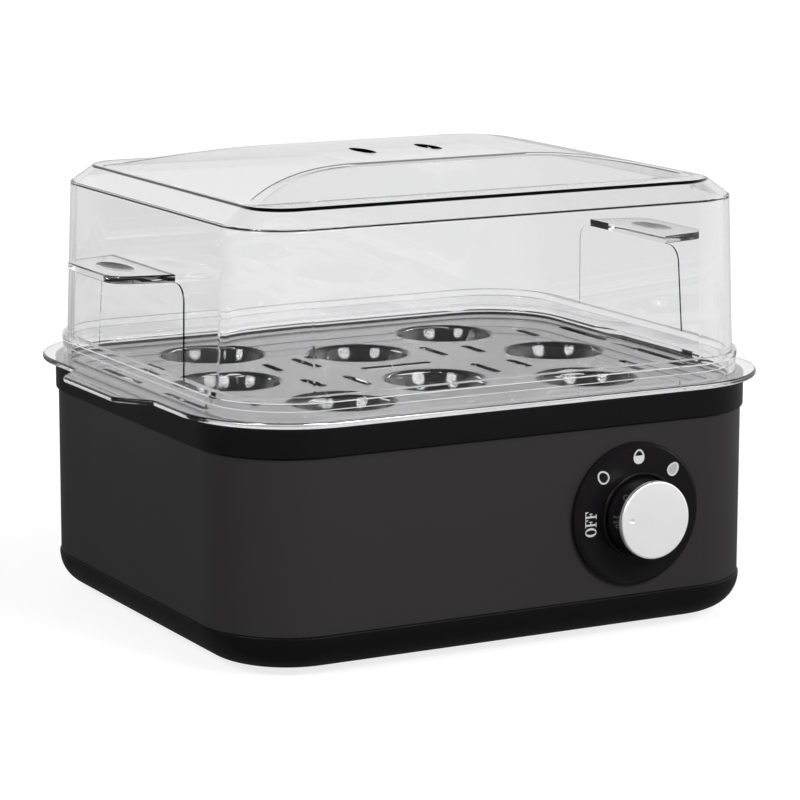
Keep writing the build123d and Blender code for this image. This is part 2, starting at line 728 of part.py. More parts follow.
with BuildPart() as terminal_screws:
    rods(level(block_bottom + block_height - well_screw_height, block_x, block_y), well_screw_radius,
         well_screw_height, well_places)
finish(terminal_screws, "terminal_screws")

with BuildPart() as block_screws:
    block_top = hanging(block_bottom + block_height, block_x, block_y)
    screws(block_top, block_height + block_stand - fit_gap, block_feet)
finish(block_screws, "block_screws")

# Rubber gland: a round flange inside, a square neck in the steel's notch and a plate that hides the notch
with BuildPart() as cord_gland:
    outside = along_y(gland_x, body_depth / 2, gland_z)
    inside = outside.offset(-sleeve_wall - gland_flange)
    plate_height = gland_height + gland_flange_radius - side_gap
    plate_middle = (gland_flange_radius + side_gap - gland_height) / 2
    with BuildSketch(outside) as plate:
        with Locations((0, plate_middle)):
            RectangleRounded(2 * gland_flange_radius, plate_height, gland_corner)
    extrude(plate.sketch, amount=gland_flange)
    fillet(cord_gland.edges().group_by(Axis.Y)[-1], gland_flange / 2)
    bar(outside.offset(-sleeve_wall), gland_neck, gland_neck, sleeve_wall)
    rods(inside, gland_flange_radius, gland_flange)
    rods(inside, gland_bore_radius, sleeve_wall + 2 * gland_flange, mode=Mode.SUBTRACT)
finish(cord_gland, "cord_gland")


def lead(name, start, end, bend_shares, swing=0):
    """A sleeved wire between two ends, along straight runs joined by arcs."""
    way = [last - first for first, last in zip(start, end)]
    bends = [(start[0] + way[0] * across + swing * out, start[1] + way[1] * along, start[2] + way[2] * up)
             for across, along, up, out in bend_shares]
    with BuildPart() as wire:
        with BuildLine(level(0)) as path:
            FilletPolyline(start, *bends, end, radius=lead_bend)
        route = path.wires()[0]
        with BuildSketch(Plane(route @ 0, z_dir=route % 0)) as section:
            Circle(lead_radius)
        sweep(section.sketch, path=route)
    finish(wire, name)


# The leads' ends: in the block's bores, at the switch's blades and at the pieces under the pan
bore_end = block_y - block_depth / 2 + lead_entry
neutral_bore, earth_bore, live_bore = [(block_x + x, bore_end, bore_level) for x, y in well_places]
blade_end = blade_reach - cover_back - body_depth / 2 + lead_gap
live_blade, switched_blade = [(dial_x + x, blade_end, dial_z + z) for x, z in blade_places]
fuse_start, fuse_end = [(side * (fuse_length / 2 + lead_gap), fuse_y, fuse_z) for side in (1, -1)]
thermostat_left, thermostat_right = [(side * (thermostat_blade_end + lead_gap), thermostat_y,
                                      blade_level + blade_thickness / 2) for side in (-1, 1)]
pin_side = heater_end_spread + blade_thickness / 2 + lead_gap
pin_left, pin_right = [(side * pin_side, -heater_tip - heater_cap_length - pin_length / 2, heater_z)
                       for side in (-1, 1)]
earth_head = (0, earth_y, earth_level - screw_head_height - lead_gap)

lead("live_lead", live_bore, live_blade, live_shares)
lead("switched_lead", switched_blade, fuse_start, switched_shares)
lead("fuse_lead", fuse_end, thermostat_left, fuse_shares, fuse_lead_swing)
lead("heater_lead", thermostat_right, pin_right, heater_shares, heater_lead_swing)
lead("neutral_lead", pin_left, neutral_bore, neutral_shares)
lead("earth_lead", earth_bore, earth_head, earth_shares)

# Clear egg tray: a plate with bowl-shaped egg seats and steam slots, an upstand, a flange and two tabs
plate_half = (tray_size[0] / 2, tray_size[1] / 2)
egg_places = [(plate_half[0] * x, plate_half[1] * y) for x, y in egg_place_shares]
notched_place = (0, max(y for x, y in egg_places if x == 0))
egg_centre = plate_top + sqrt(egg_radius ** 2 - (egg_hole / 2) ** 2)
egg_planes = [level(egg_centre, x, y) for x, y in egg_places]
with BuildPart() as egg_spaces:
    with Locations(*egg_planes):
        Sphere(egg_radius)
with BuildPart() as egg_seats:
    with Locations(*egg_planes):
        Sphere(egg_radius + egg_seat_wall)
    block(level(plate_bottom - egg_seat_depth), tray_size, egg_seat_depth, mode=Mode.INTERSECT)
with BuildPart() as egg_tray:
    with BuildSketch(level(flange_bottom)) as flange:
        RectangleRounded(*flange_size)
        for side in (-1, 1):
            root_x = side * (flange_size[0] / 2 - tab_round)
            edge_x = side * flange_size[0] / 2
            tip_x = side * (flange_size[0] / 2 + tab_reach)
            with BuildLine():
                Polyline((root_x, -tab_root / 2), (root_x, tab_root / 2), (edge_x, tab_root / 2),
                         (tip_x, tab_tip / 2), (tip_x, -tab_tip / 2), (edge_x, -tab_root / 2), close=True)
            make_face()
        fillet(flange.vertices().group_by(Axis.X)[0] + flange.vertices().group_by(Axis.X)[-1], tab_round)
    extrude(flange.sketch, amount=flange_thickness)
    fillet(egg_tray.edges().group_by(Axis.Z)[0] + egg_tray.edges().group_by(Axis.Z)[-1], flange_round)
    block(level(plate_bottom), tray_size, upstand_top - plate_bottom)
    block(level(plate_top), shrunk(tray_size, tray_wall), upstand_height + plate_drop, mode=Mode.SUBTRACT)
    add(egg_seats.part)
    add(egg_spaces.part, mode=Mode.SUBTRACT)
    hole_edges = egg_tray.edges().filter_by_position(Axis.Z, plate_top - fit_gap, plate_top + fit_gap)
    hole_edges = hole_edges.filter_by(GeomType.CIRCLE)
    fillet(hole_edges.filter_by(lambda edge: abs(edge.radius - egg_hole / 2) < fit_gap), egg_hole_round)
    notch_place = (notched_place[0] - egg_hole / 2, notched_place[1])
    rods(level(plate_bottom - egg_seat_depth), notch_radius, plate_thickness + egg_seat_depth, [notch_place],
         Mode.SUBTRACT)
    with BuildSketch(level(plate_bottom)) as slots:
        for across, along, length in slot_row_shares:
            with Locations(*four(plate_half[0] * across, plate_half[1] * along)):
                SlotOverall(2 * plate_half[1] * length, slot_width, rotation=right_angle)
        SlotOverall(2 * plate_half[0] * middle_slot_share, slot_width)
    extrude(slots.sketch, amount=plate_thickness, mode=Mode.SUBTRACT)
finish(egg_tray, "egg_tray")

# Clear lid: drafted walls, a bevelled top edge, a raised pad with vents, and a ledge handle on each side
bevel_angle = atan2(lid_bevel_run, lid_bevel_height)
draft_slope = tan(radians(lid_draft))
bevel_foot = shrunk(lid_size, lid_wall_height * draft_slope)
lid_top_size = shrunk(bevel_foot, lid_bevel_run)
pad_foot_x = lid_top_size[0] / 2 - pad_side_inset
pad_foot_y = lid_top_size[1] / 2 - pad_front_inset
lip_size = shrunk(tray_size, -lip_overhang)
skirt_size = shrunk(tray_size, tray_wall + side_gap)

# Raised pad on the lid: crowned from side to side, with a straight slope in front and behind
with BuildPart() as lid_pad:
    with BuildSketch(along_y(0, -pad_foot_y, bevel_top)) as crown:
        with BuildLine():
            Line((-pad_flat / 2, pad_height), (pad_flat / 2, pad_height))
            TangentArc((pad_flat / 2, pad_height), (pad_foot_x, 0), tangent=(1, 0))
            Line((pad_foot_x, 0), (-pad_foot_x, 0))
            TangentArc((-pad_flat / 2, pad_height), (-pad_foot_x, 0), tangent=(-1, 0))
        make_face()
    extrude(crown.sketch, amount=2 * pad_foot_y)
    pad_top_y = pad_foot_y - pad_slope_run
    with BuildSketch(along_x(-pad_foot_x, 0, bevel_top)) as slopes:
        with BuildLine():
            Polyline((-pad_foot_y, 0), (pad_foot_y, 0), (pad_top_y, pad_height), (-pad_top_y, pad_height),
                     close=True)
        make_face()
    extrude(slopes.sketch, amount=2 * pad_foot_x, mode=Mode.INTERSECT)
    slope_faces = lid_pad.faces().sort_by(Axis.Y)
    slope_edges = slope_faces[0].edges() + slope_faces[-1].edges()
    fillet(slope_edges.filter_by_position(Axis.Z, bevel_top + fit_gap, pad_top + fit_gap), pad_round)


def lid_form(inward):
    """The lid's outside as a solid, or its inside where a wall's thickness is taken off."""
    outline = shrunk(lid_size, inward)
    bend = bevel_bottom - inward * tan(bevel_angle / 2)
    block(level(lip_bottom), outline, bend - lip_bottom, lid_draft)
    bevel_outline = shrunk(outline, (bend - lip_bottom) * draft_slope)
    block(level(bend), bevel_outline, bevel_top - inward - bend, degrees(bevel_angle))
    fillet(edges().filter_by_position(Axis.Z, bend - fit_gap, bend + fit_gap), lid_edge_round)
    fillet(edges().group_by(Axis.Z)[-1], lid_edge_round)
    add(lid_pad.part.moved(Location((0, 0, -inward))))


def wall_half_width(height):
    """Half the lid's outer width at a height, where its drafted side stands."""
    return lid_size[0] / 2 - (height - lip_bottom) * draft_slope


# Slightly raised panels on the side walls below the ledges
panel_top = ledge_plate_top - ledge_plate
panel_bottom = lip_bottom + lip_thickness
panel_x = wall_half_width(panel_bottom) + panel_proud
with BuildPart() as side_panels:
    with BuildSketch(along_x(-panel_x, 0, panel_bottom)) as panel:
        Trapezoid(panel_width, panel_top - panel_bottom, right_angle - panel_lean,
                  align=(Align.CENTER, Align.MIN))
        fillet(panel.vertices().group_by(Axis.Y)[-1], panel_round)
    extrude(panel.sketch, amount=2 * panel_x)
    block(level(lip_bottom), shrunk(lid_size, -panel_proud), panel_top - lip_bottom, lid_draft, Mode.INTERSECT)

# Ledge handles with an oval dimple on top
with BuildPart() as ledges:
    ledge_x = wall_half_width(ledge_plate_top)
    with BuildSketch(level(panel_top)) as plates:
        for side in (-1, 1):
            root_x = side * (ledge_x - lid_wall / 2)
            tip_x = side * (ledge_x + ledge_reach)
            with BuildLine():
                Polyline((root_x, ledge_root / 2), (tip_x, ledge_tip / 2), (tip_x, -ledge_tip / 2),
                         (root_x, -ledge_root / 2), close=True)
            make_face()
        fillet(plates.vertices().group_by(Axis.X)[0] + plates.vertices().group_by(Axis.X)[-1], ledge_round)
    extrude(plates.sketch, amount=ledge_plate)
    fillet(ledges.edges().group_by(Axis.Z)[0] + ledges.edges().group_by(Axis.Z)[-1], ledge_edge_round)
    dimple_radius = (dimple_width ** 2 / 4 + dimple_depth ** 2) / (2 * dimple_depth)
    dimple_rise = dimple_radius - dimple_depth
    for side in (-1, 1):
        dimple_axis = along_x(side * (ledge_x + ledge_reach / 2), 0, ledge_plate_top + dimple_rise)
        with BuildSketch(dimple_axis) as dimple:
            with BuildLine():
                ThreePointArc((-dimple_length / 2, -dimple_rise), (0, -dimple_radius),
                              (dimple_length / 2, -dimple_rise))
                Polyline((dimple_length / 2, -dimple_rise), (dimple_length / 2, 0), (-dimple_length / 2, 0),
                         (-dimple_length / 2, -dimple_rise))
            make_face()
        revolve(dimple.sketch, axis=Axis(dimple_axis.origin, dimple_axis.x_dir), mode=Mode.SUBTRACT)

with BuildPart() as lid_inside:
    lid_form(lid_wall)
    block(level(lid_bottom), shrunk(skirt_size, lid_wall), lid_skirt)

with BuildPart() as lid:
    lid_form(0)
    add(side_panels.part)
    add(ledges.part)
    block(level(lip_bottom), lip_size, lip_thickness)
    block(level(lid_bottom), skirt_size, lid_skirt)
    add(lid_inside.part, mode=Mode.SUBTRACT)
    with BuildSketch(level(pad_top - lid_wall - pad_height)) as vent_holes:
        with Locations((-vent_hole_spacing / 2, 0), (vent_hole_spacing / 2, 0)):
            Ellipse(vent_hole_width / 2, vent_hole_length / 2)
    extrude(vent_holes.sketch, amount=lid_wall + pad_height + cut_overrun, mode=Mode.SUBTRACT)
finish(lid, "lid")
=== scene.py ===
import json
from math import cos, radians, sin

import bmesh
import bpy
from mathutils import Matrix, Vector


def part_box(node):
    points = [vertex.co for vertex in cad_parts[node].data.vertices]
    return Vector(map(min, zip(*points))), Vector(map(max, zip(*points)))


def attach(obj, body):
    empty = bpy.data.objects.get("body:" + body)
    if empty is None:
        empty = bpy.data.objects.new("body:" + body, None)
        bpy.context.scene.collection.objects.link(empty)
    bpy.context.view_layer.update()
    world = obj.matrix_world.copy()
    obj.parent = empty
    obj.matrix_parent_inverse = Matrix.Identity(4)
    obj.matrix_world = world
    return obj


# Electric egg cooker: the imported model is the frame, and this script gives it its finish, its printed dial,
# a studio and the photograph's camera. Metres, +Z up, dial towards -Y.
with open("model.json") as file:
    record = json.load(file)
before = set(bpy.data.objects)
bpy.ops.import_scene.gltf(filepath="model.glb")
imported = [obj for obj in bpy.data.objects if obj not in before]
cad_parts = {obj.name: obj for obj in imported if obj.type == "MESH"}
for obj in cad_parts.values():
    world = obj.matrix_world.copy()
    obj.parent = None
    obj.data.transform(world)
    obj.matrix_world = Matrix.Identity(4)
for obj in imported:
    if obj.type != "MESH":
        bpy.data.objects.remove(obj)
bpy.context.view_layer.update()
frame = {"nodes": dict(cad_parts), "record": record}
nodes = frame["nodes"]
mm = 0.001
quarter_turn = 90.0

# Camera, fitted to the photograph's straight edges
camera_place = Vector((-576.559, -1060.116, 307.401)) * mm
camera_yaw = 0.498
camera_pitch = 0.191
camera_roll = -0.002
camera_lens = 152.775
sensor_width = 36.0

# Printing on the dial
ink_thickness = 0.04 * mm
ink_sunk = 0.01 * mm
collar_height = 2.0 * mm
egg_width = 4.4 * mm
egg_length = 5.2 * mm
egg_narrowing = 0.12
egg_sides = 48
egg_stroke = 0.6 * mm
yolk_level = 0.35 * mm
mark_radius = 20.4 * mm
soft_angle = 135.0
medium_angle = 90.0
hard_angle = 46.0
off_radius = 19.3 * mm
off_angle = 184.9
letter_height = 4.5 * mm
letter_o_width = 3.2 * mm
letter_f_width = 2.75 * mm
letter_gap = 0.12 * mm
# The serifed letter F, anticlockwise from its foot, as shares of its width and height
letter_f_shares = ((0, 0), (0.62, 0), (0.62, 0.05), (0.43, 0.08), (0.43, 0.48), (0.66, 0.48), (0.68, 0.36),
                   (0.76, 0.36), (0.76, 0.66), (0.68, 0.66), (0.66, 0.55), (0.43, 0.55), (0.43, 0.93),
                   (0.82, 0.93), (0.92, 0.74), (1, 0.74), (1, 1), (0, 1), (0, 0.95), (0.19, 0.92),
                   (0.19, 0.08), (0, 0.05))
letter_o_inside_shares = (0.5, 0.84)

# Grain and patches of every finish
grain_detail = 3.0
patch_detail = 4.0
usual_patch_scale = 60.0

# Clear plastic of the tray and the lid
clear_tint = (0.965, 0.965, 0.97, 1.0)
clear_shadow = (0.9, 0.9, 0.9, 1.0)
clear_refraction = 1.5
clear_roughness = 0.03
smear_scale = 25.0

# Studio. Each fade is where it starts and ends, and what it goes from and to
white = (1.0, 1.0, 1.0, 1.0)
backdrop_lean = 0.55
floor_half = 8.0
floor_roughness = 0.9
floor_grey = 0.3
floor_grey_through_plastic = 0.03
floor_glow = (0.12, 0.45, 0.8, 1.0)
floor_mirrored = (0.0, 0.8, 0.03, 0.5)
floor_veiled = (-0.1, 0.5, 0.04, 0.8)
floor_through_plastic = (-0.1, 0.5, 0.85, 0.95)
room_behind = (0.2, 0.9, 0.12, 0.85)
room_veiled = (-0.2, 0.3, 0.06, 0.85)
room_through_plastic = (-0.2, 0.3, 0.8, 0.9)
side_card = (0.4, 0.85, 0.0, 1.5)
ceiling = (0.35, 0.8, 1.0, 0.3)
lamp_edge = (0.15, 0.5, 1.0, 0.0)
lamp_side = 43.0
lamp_elevation = 32.0
lamp_distance = 1.3
lamp_aim = Vector((0.0, 0.0, 0.08))
lamp_middle = (0.5, 0.5, 0.0)
left_lamp_power = 23.0
left_lamp_size = 0.62
right_lamp_power = 27.5
right_lamp_size = 0.78
under_one_reflection = 0.5

scene = bpy.context.scene
scene.view_settings.view_transform = "Standard"


def new_material(name):
    """A material, its node tree and its Principled surface."""
    material = bpy.data.materials.new(name)
    material.use_nodes = True
    tree = material.node_tree
    return material, tree, tree.nodes["Principled BSDF"]


def node(tree, kind, **values):
    """A node with its properties and plain inputs set."""
    made = tree.nodes.new(kind)
    for key, value in values.items():
        if hasattr(made, key):
            setattr(made, key, value)
        else:
            made.inputs[key.replace("_", " ")].default_value = value
    return made


def grain_group():
    """Fine moulded grain: a height for bump and a slow patchiness for roughness."""
    group = bpy.data.node_groups.new("fine_grain", "ShaderNodeTree")
    face = group.interface
    face.new_socket("Grain Scale", in_out="INPUT", socket_type="NodeSocketFloat")
    face.new_socket("Patch Scale", in_out="INPUT", socket_type="NodeSocketFloat")
    face.new_socket("Height", in_out="OUTPUT", socket_type="NodeSocketFloat")
    face.new_socket("Patches", in_out="OUTPUT", socket_type="NodeSocketFloat")
    inside = group.nodes.new("NodeGroupInput")
    outside = group.nodes.new("NodeGroupOutput")
    place = group.nodes.new("ShaderNodeTexCoord")
    grain = group.nodes.new("ShaderNodeTexNoise")
    grain.inputs["Detail"].default_value = grain_detail
    patches = group.nodes.new("ShaderNodeTexNoise")
    patches.inputs["Detail"].default_value = patch_detail
    group.links.new(place.outputs["Object"], grain.inputs["Vector"])
    group.links.new(place.outputs["Object"], patches.inputs["Vector"])
    group.links.new(inside.outputs["Grain Scale"], grain.inputs["Scale"])
    group.links.new(inside.outputs["Patch Scale"], patches.inputs["Scale"])
    group.links.new(grain.outputs["Fac"], outside.inputs["Height"])
    group.links.new(patches.outputs["Fac"], outside.inputs["Patches"])
    return group


fine_grain = grain_group()


def grained(name, colour, roughness, spread, grain_scale, bump, metallic=0.0, **plain):
    """A grained finish: bump from fine grain, roughness varied in soft patches."""
    material, tree, surface = new_material(name)
    surface.inputs["Base Color"].default_value = (*colour, 1.0)
    surface.inputs["Metallic"].default_value = metallic
    for key, value in plain.items():
        surface.inputs[key.replace("_", " ")].default_value = value
    grain = tree.nodes.new("ShaderNodeGroup")
    grain.node_tree = fine_grain
    grain.inputs["Grain Scale"].default_value = grain_scale
    grain.inputs["Patch Scale"].default_value = usual_patch_scale
    span = node(tree, "ShaderNodeMapRange", To_Min=roughness - spread, To_Max=roughness + spread)
    relief = node(tree, "ShaderNodeBump", Strength=1.0, Distance=bump)
    tree.links.new(grain.outputs["Patches"], span.inputs["Value"])
    tree.links.new(span.outputs["Result"], surface.inputs["Roughness"])
    tree.links.new(grain.outputs["Height"], relief.inputs["Height"])
    tree.links.new(relief.outputs["Normal"], surface.inputs["Normal"])
    return material


def clear_plastic():
    """Clear polished plastic with a faint grey cast that lets lamps through."""
    material, tree, surface = new_material("clear_plastic")
    surface.inputs["Base Color"].default_value = clear_tint
    surface.inputs["IOR"].default_value = clear_refraction
    surface.inputs["Transmission Weight"].default_value = 1.0
    smears = tree.nodes.new("ShaderNodeGroup")
    smears.node_tree = fine_grain
    smears.inputs["Patch Scale"].default_value = smear_scale
    polish = node(tree, "ShaderNodeMapRange", To_Min=0.0, To_Max=clear_roughness)
    tree.links.new(smears.outputs["Patches"], polish.inputs["Value"])
    tree.links.new(polish.outputs["Result"], surface.inputs["Roughness"])
    path = tree.nodes.new("ShaderNodeLightPath")
    through = node(tree, "ShaderNodeBsdfTransparent", Color=clear_shadow)
    mix = tree.nodes.new("ShaderNodeMixShader")
    tree.links.new(path.outputs["Is Shadow Ray"], mix.inputs["Fac"])
    tree.links.new(surface.outputs["BSDF"], mix.inputs[1])
    tree.links.new(through.outputs["BSDF"], mix.inputs[2])
    tree.links.new(mix.outputs["Shader"], tree.nodes["Material Output"].inputs["Surface"])
    return material


# Each finish: its colour, roughness, spread of roughness, grain scale and grain height in metres
finishes = {
    "black_plastic": grained("black_plastic", (0.005, 0.0045, 0.0051), 0.4, 0.06, 2600.0, 0.00003,
                             Specular_IOR_Level=0.07),
    "gloss_black": grained("gloss_black", (0.008, 0.0072, 0.008), 0.07, 0.02, 500.0, 0.000002,
                           Specular_IOR_Level=0.6),
    "dial_black": grained("dial_black", (0.0068, 0.006, 0.0067), 0.22, 0.04, 900.0, 0.000003,
                          Specular_IOR_Level=0.1),
    "dial_print": grained("dial_print", (0.58, 0.58, 0.58), 0.45, 0.05, 2500.0, 0.000004),
    "dial_print_grey": grained("dial_print_grey", (0.38, 0.38, 0.38), 0.45, 0.05, 2500.0, 0.000004),
    "sleeve_steel": grained("sleeve_steel", (0.0262, 0.0243, 0.0255), 0.45, 0.05, 3000.0, 0.00002,
                            Specular_IOR_Level=0.1),
    "clear_plastic": clear_plastic(),
    "pan_coating": grained("pan_coating", (0.003, 0.003, 0.003), 0.6, 0.05, 900.0, 0.000006,
                           Specular_IOR_Level=0.0),
    "knob_metal": grained("knob_metal", (0.95, 0.94, 0.95), 0.5, 0.05, 2500.0, 0.000004, metallic=1.0),
    "rubber": grained("rubber", (0.012, 0.012, 0.012), 0.7, 0.06, 1800.0, 0.00004),
    "silicone": grained("silicone", (0.3, 0.29, 0.28), 0.5, 0.05, 900.0, 0.00001),
    "steel": grained("steel", (0.55, 0.55, 0.56), 0.32, 0.08, 1800.0, 0.000006, metallic=1.0),
    "heater_sheath": grained("heater_sheath", (0.24, 0.22, 0.2), 0.42, 0.1, 900.0, 0.00001, metallic=1.0),
    "brass": grained("brass", (0.72, 0.5, 0.2), 0.3, 0.08, 1500.0, 0.000005, metallic=1.0),
    "ceramic": grained("ceramic", (0.78, 0.76, 0.71), 0.4, 0.05, 1100.0, 0.00001),
    "nylon": grained("nylon", (0.7, 0.68, 0.62), 0.42, 0.05, 1300.0, 0.00001),
    "fuse_sleeve": grained("fuse_sleeve", (0.74, 0.72, 0.63), 0.7, 0.05, 2500.0, 0.00008),
    "lead_brown": grained("lead_brown", (0.13, 0.045, 0.02), 0.4, 0.05, 900.0, 0.00001),
    "lead_blue": grained("lead_blue", (0.02, 0.07, 0.28), 0.4, 0.05, 900.0, 0.00001),
    "lead_black": grained("lead_black", (0.012, 0.012, 0.012), 0.4, 0.05, 900.0, 0.00001),
    "lead_green": grained("lead_green", (0.07, 0.24, 0.03), 0.4, 0.05, 900.0, 0.00001),
}
slot_of = {part["node"]: part["material_slot"] for part in frame["record"]["subparts"]}


def dress(piece, slot):
    """Put one finish on a whole piece."""
    if not piece.material_slots:
        piece.data.materials.append(None)
    for place in piece.material_slots:
        place.material = finishes[slot]


finish_of = dict(slot_of, dial_bezel="dial_black")
for name, piece in nodes.items():
    dress(piece, finish_of[name])


def egg_blank(build):
    """A flat egg with a rim of the stroke's width; its middle face comes back."""
    verts = bmesh.ops.create_circle(build, cap_ends=True, segments=egg_sides, radius=0.5)["verts"]
    bmesh.ops.scale(build, vec=(egg_width, egg_length, 1.0), verts=verts)
    for vert in verts:
        vert.co.x *= 1.0 - egg_narrowing * vert.co.y / (egg_length / 2.0)
    middle = verts[0].link_faces[0]
    bmesh.ops.inset_region(build, faces=[middle], thickness=egg_stroke, use_boundary=True,
                           use_even_offset=True)
    return middle


def egg_soft(build):
    """An outlined egg."""
    bmesh.ops.delete(build, geom=[egg_blank(build)], context="FACES_ONLY")


def egg_medium(build):
    """An outlined egg with its lower half filled."""
    middle = egg_blank(build)
    halves = bmesh.ops.bisect_plane(build, geom=[middle, *middle.edges, *middle.verts],
                                    plane_co=(0.0, yolk_level, 0.0), plane_no=(0.0, 1.0, 0.0))["geom"]
    upper = [face for face in halves if isinstance(face, bmesh.types.BMFace)
             and face.calc_center_median().y > yolk_level]
    bmesh.ops.delete(build, geom=upper, context="FACES_ONLY")


def egg_hard(build):
    """An outlined egg filled with grey."""
    egg_blank(build).material_index = 1


def word_off(build):
    """The word OFF in serifed letters, about its own middle."""
    rings = []
    for across, along in ((1.0, 1.0), letter_o_inside_shares):
        ring = bmesh.ops.create_circle(build, segments=egg_sides, radius=0.5)["verts"]
        bmesh.ops.scale(build, vec=(letter_o_width * across, letter_height * along, 1.0), verts=ring)
        rings.append(ring)
    edges = {edge for ring in rings for vert in ring for edge in vert.link_edges}
    bmesh.ops.bridge_loops(build, edges=list(edges))
    word = letter_o_width + 2.0 * (letter_gap + letter_f_width)
    bmesh.ops.translate(build, vec=((letter_o_width - word) / 2.0, 0.0, 0.0), verts=build.verts[:])
    for start in (letter_o_width + letter_gap - word / 2.0, word / 2.0 - letter_f_width):
        build.faces.new([build.verts.new((start + letter_f_width * across, letter_height * (up - 0.5), 0.0))
                         for across, up in letter_f_shares])


def print_on_dial(name, shape, radius, angle, turn):
    """A printed mark on the dial plate at a radius and an angle, turned on the spot."""
    axis = Vector(next(joint["pos_m"] for joint in frame["record"]["behaviour"]["joints"]
                       if joint["name"] == "knob_turn"))
    dial_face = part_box("dial_bezel")[0][1] + collar_height
    build = bmesh.new()
    shape(build)
    bmesh.ops.recalc_face_normals(build, faces=build.faces[:])
    bmesh.ops.solidify(build, geom=build.faces[:], thickness=ink_thickness)
    bmesh.ops.recalc_face_normals(build, faces=build.faces[:])
    bmesh.ops.triangulate(build, faces=build.faces[:])
    lowest = min(vert.co.z for vert in build.verts)
    place = Matrix.Translation((axis.x, dial_face, axis.z)) @ Matrix.Rotation(radians(quarter_turn), 4, "X")
    place = place @ Matrix.Translation((radius * cos(radians(angle)), radius * sin(radians(angle)),
                                        -ink_sunk - lowest)) @ Matrix.Rotation(radians(turn), 4, "Z")
    bmesh.ops.transform(build, matrix=place, verts=build.verts[:])
    mesh = bpy.data.meshes.new(name)
    build.to_mesh(mesh)
    build.free()
    mesh.materials.append(finishes["dial_print"])
    mesh.materials.append(finishes["dial_print_grey"])
    mark = bpy.data.objects.new(name, mesh)
    scene.collection.objects.link(mark)
    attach(mark, "housing")


print_on_dial("dial_mark_soft", egg_soft, mark_radius, soft_angle, soft_angle - quarter_turn)
print_on_dial("dial_mark_medium", egg_medium, mark_radius, medium_angle, medium_angle - quarter_turn)
print_on_dial("dial_mark_hard", egg_hard, mark_radius, hard_angle, hard_angle - quarter_turn)
print_on_dial("dial_mark_off", word_off, off_radius, off_angle, quarter_turn)


def math_node(tree, operation, *values):
    """A Math node with each input linked or set."""
    made = node(tree, "ShaderNodeMath", operation=operation)
    for place, value in zip(made.inputs, values):
        if isinstance(value, bpy.types.NodeSocket):
            tree.links.new(value, place)
        else:
            place.default_value = value
    return made.outputs[0]


def ramp(tree, value, low, high, from_value, to_value):
    """A smooth change from one value to another as an input goes from low to high."""
    made = node(tree, "ShaderNodeMapRange", interpolation_type="SMOOTHSTEP")
    made.inputs["From Min"].default_value = low
    made.inputs["From Max"].default_value = high
    made.inputs["To Min"].default_value = from_value
    made.inputs["To Max"].default_value = to_value
    tree.links.new(value, made.inputs["Value"])
    return made.outputs["Result"]


def straight_through(tree, path):
    """1 for a ray that has come through clear plastic with no reflection on its way, and 0 for any other."""
    unmirrored = math_node(tree, "LESS_THAN", path.outputs["Glossy Depth"], under_one_reflection)
    return math_node(tree, "MULTIPLY", path.outputs["Is Transmission Ray"], unmirrored)


camera_ahead = Vector((sin(camera_yaw), cos(camera_yaw), 0.0))
camera_right = Vector((cos(camera_yaw), -sin(camera_yaw), 0.0))
backdrop_way = (camera_ahead + backdrop_lean * camera_right).normalized()


def white_floor():
    """A white floor that keeps the object's shadow near it and is plain white further off."""
    mesh = bpy.data.meshes.new("floor")
    build = bmesh.new()
    bmesh.ops.create_grid(build, x_segments=1, y_segments=1, size=floor_half)
    build.to_mesh(mesh)
    build.free()
    floor = bpy.data.objects.new("floor", mesh)
    scene.collection.objects.link(floor)
    material, tree, surface = new_material("white_floor")
    surface.inputs["Roughness"].default_value = floor_roughness
    surface.inputs["Specular IOR Level"].default_value = 0.0
    surface.inputs["Emission Color"].default_value = white
    path = tree.nodes.new("ShaderNodeLightPath")
    place = tree.nodes.new("ShaderNodeTexCoord")
    away = node(tree, "ShaderNodeVectorMath", operation="LENGTH")
    tree.links.new(place.outputs["Object"], away.inputs[0])
    matt = math_node(tree, "MULTIPLY_ADD", path.outputs["Is Transmission Ray"],
                     floor_grey_through_plastic - floor_grey, floor_grey)
    tree.links.new(matt, surface.inputs["Base Color"])
    glow = ramp(tree, away.outputs["Value"], *floor_glow)
    seen = math_node(tree, "MULTIPLY", path.outputs["Is Camera Ray"], glow)
    behind = node(tree, "ShaderNodeVectorMath", operation="DOT_PRODUCT")
    tree.links.new(place.outputs["Object"], behind.inputs[0])
    behind.inputs[1].default_value = backdrop_way
    mirrored = ramp(tree, behind.outputs["Value"], *floor_mirrored)
    mirrored = math_node(tree, "MULTIPLY", path.outputs["Is Glossy Ray"], mirrored)
    veiled = ramp(tree, behind.outputs["Value"], *floor_veiled)
    veiled = math_node(tree, "MULTIPLY", path.outputs["Is Transmission Ray"], veiled)
    seen = math_node(tree, "MAXIMUM", seen, math_node(tree, "MAXIMUM", mirrored, veiled))
    clear = ramp(tree, behind.outputs["Value"], *floor_through_plastic)
    clear = math_node(tree, "MULTIPLY", clear, straight_through(tree, path))
    seen = math_node(tree, "MAXIMUM", seen, clear)
    tree.links.new(seen, surface.inputs["Emission Strength"])
    mesh.materials.append(material)


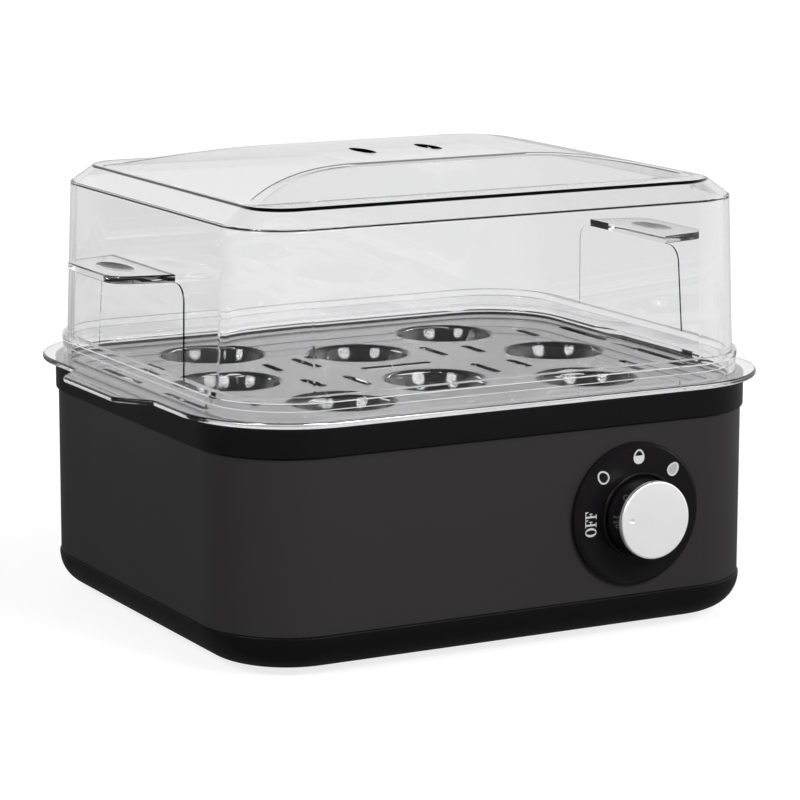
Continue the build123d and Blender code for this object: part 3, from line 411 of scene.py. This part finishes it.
def surround():
    """A white backdrop behind, a bright card at the right, a dim room in front and a dark ceiling."""
    world = bpy.data.worlds.new("studio")
    scene.world = world
    world.use_nodes = True
    tree = world.node_tree
    place = tree.nodes.new("ShaderNodeTexCoord")
    facing = node(tree, "ShaderNodeVectorMath", operation="DOT_PRODUCT")
    tree.links.new(place.outputs["Generated"], facing.inputs[0])
    facing.inputs[1].default_value = camera_ahead
    beside = node(tree, "ShaderNodeVectorMath", operation="DOT_PRODUCT")
    tree.links.new(place.outputs["Generated"], beside.inputs[0])
    beside.inputs[1].default_value = camera_right
    parts = tree.nodes.new("ShaderNodeSeparateXYZ")
    tree.links.new(place.outputs["Generated"], parts.inputs["Vector"])
    path = tree.nodes.new("ShaderNodeLightPath")
    room = ramp(tree, facing.outputs["Value"], *room_behind)
    straight = straight_through(tree, path)
    card = ramp(tree, beside.outputs["Value"], *side_card)
    card = math_node(tree, "MULTIPLY", card, math_node(tree, "SUBTRACT", 1.0, straight))
    room = math_node(tree, "MAXIMUM", room, card)
    veiled = ramp(tree, facing.outputs["Value"], *room_veiled)
    veiled = math_node(tree, "MULTIPLY", path.outputs["Is Transmission Ray"], veiled)
    room = math_node(tree, "MAXIMUM", room, veiled)
    clear = ramp(tree, facing.outputs["Value"], *room_through_plastic)
    room = math_node(tree, "MAXIMUM", room, math_node(tree, "MULTIPLY", clear, straight))
    light = math_node(tree, "MULTIPLY", room, ramp(tree, parts.outputs["Z"], *ceiling))
    light = math_node(tree, "MAXIMUM", light, path.outputs["Is Camera Ray"])
    back = tree.nodes["Background"]
    back.inputs["Color"].default_value = white
    tree.links.new(light, back.inputs["Strength"])


def soft_lamp(name, azimuth, power, size):
    """A round lamp that fades to its edge, aimed at the object; azimuth is from the camera, to its left."""
    lamp = bpy.data.lights.new(name, "AREA")
    lamp.shape = "DISK"
    lamp.size = size
    lamp.energy = power
    lamp.use_nodes = True
    tree = lamp.node_tree
    place = tree.nodes.new("ShaderNodeNewGeometry")
    off = node(tree, "ShaderNodeVectorMath", operation="DISTANCE")
    tree.links.new(place.outputs["Parametric"], off.inputs[0])
    off.inputs[1].default_value = lamp_middle
    fade = ramp(tree, off.outputs["Value"], *lamp_edge)
    tree.links.new(fade, tree.nodes["Emission"].inputs["Strength"])
    turn = camera_yaw + radians(azimuth)
    rise = radians(lamp_elevation)
    way = Vector((-sin(turn) * cos(rise), -cos(turn) * cos(rise), sin(rise)))
    spot = bpy.data.objects.new(name, lamp)
    aim = way.to_track_quat("Z", "Y").to_matrix().to_4x4()
    spot.matrix_world = Matrix.Translation(lamp_aim + way * lamp_distance) @ aim
    scene.collection.objects.link(spot)


def studio():
    """The floor, the surround and a soft lamp either side of the camera."""
    white_floor()
    surround()
    soft_lamp("soft_lamp_left", lamp_side, left_lamp_power, left_lamp_size)
    soft_lamp("soft_lamp_right", -lamp_side, right_lamp_power, right_lamp_size)


def photo_camera():
    """The camera where the photograph was taken from."""
    data = bpy.data.cameras.new("photo_camera")
    data.lens = camera_lens
    data.sensor_width = sensor_width
    ahead = camera_ahead * cos(camera_pitch) + Vector((0.0, 0.0, -sin(camera_pitch)))
    down = ahead.cross(camera_right)
    across = cos(camera_roll) * camera_right + sin(camera_roll) * down
    below = -sin(camera_roll) * camera_right + cos(camera_roll) * down
    turn = Matrix((across, -below, -ahead)).transposed()
    camera = bpy.data.objects.new("photo_camera", data)
    camera.matrix_world = Matrix.Translation(camera_place) @ turn.to_4x4()
    scene.collection.objects.link(camera)
    scene.camera = camera


studio()
photo_camera()
